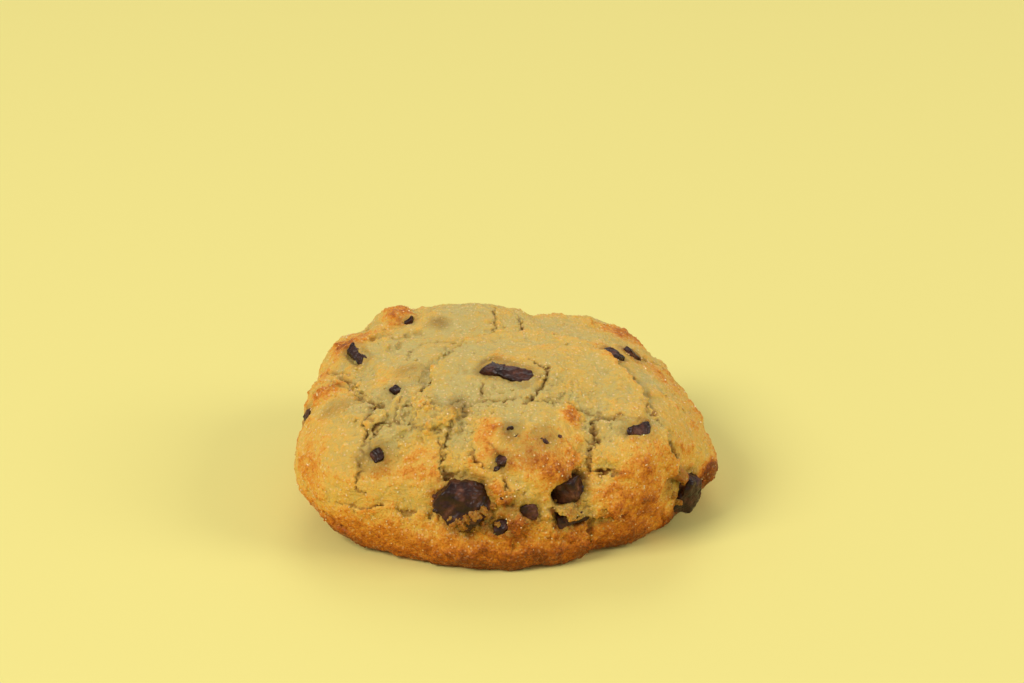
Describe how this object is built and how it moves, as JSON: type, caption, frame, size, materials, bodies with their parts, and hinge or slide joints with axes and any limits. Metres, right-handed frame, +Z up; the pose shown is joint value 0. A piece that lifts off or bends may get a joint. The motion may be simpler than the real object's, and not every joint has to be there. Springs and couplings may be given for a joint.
{
  "type": "chocolate chip cookie",
  "caption": "Thick round chocolate chip cookie: a lumpy heap of baked dough with a flat base, and chopped chocolate set in its top and sides.",
  "frame": {"origin": "middle of the flat base", "axes": "+Z up out of the tray, +X to the right as seen from the front, -Y towards the front"},
  "size_m": [0.0841, 0.0752, 0.0318],
  "materials": {
    "baked_dough": "matte baked crust, deeper brown at the base",
    "dark_chocolate": "satin, melted and set"
  },
  "bodies": {
    "root": {"dough": "baked_dough", "choc_top": "dark_chocolate", "choc_front_big": "dark_chocolate", "choc_front_lower": "dark_chocolate", "choc_front_small": "dark_chocolate", "choc_front_block": "dark_chocolate", "choc_ledge": "dark_chocolate", "choc_right": "dark_chocolate", "choc_right_top": "dark_chocolate", "choc_left_top": "dark_chocolate", "choc_left_pit": "dark_chocolate", "choc_left_edge": "dark_chocolate", "choc_left_low": "dark_chocolate", "choc_cap_right": "dark_chocolate", "choc_rim_right": "dark_chocolate", "choc_ear": "dark_chocolate", "choc_mound": "dark_chocolate", "choc_back_low": "dark_chocolate", "choc_back_left": "dark_chocolate", "choc_back_mid": "dark_chocolate", "choc_back_right": "dark_chocolate", "choc_side_left": "dark_chocolate", "choc_side_right": "dark_chocolate", "choc_back_top": "dark_chocolate"}
  },
  "joints": []
}
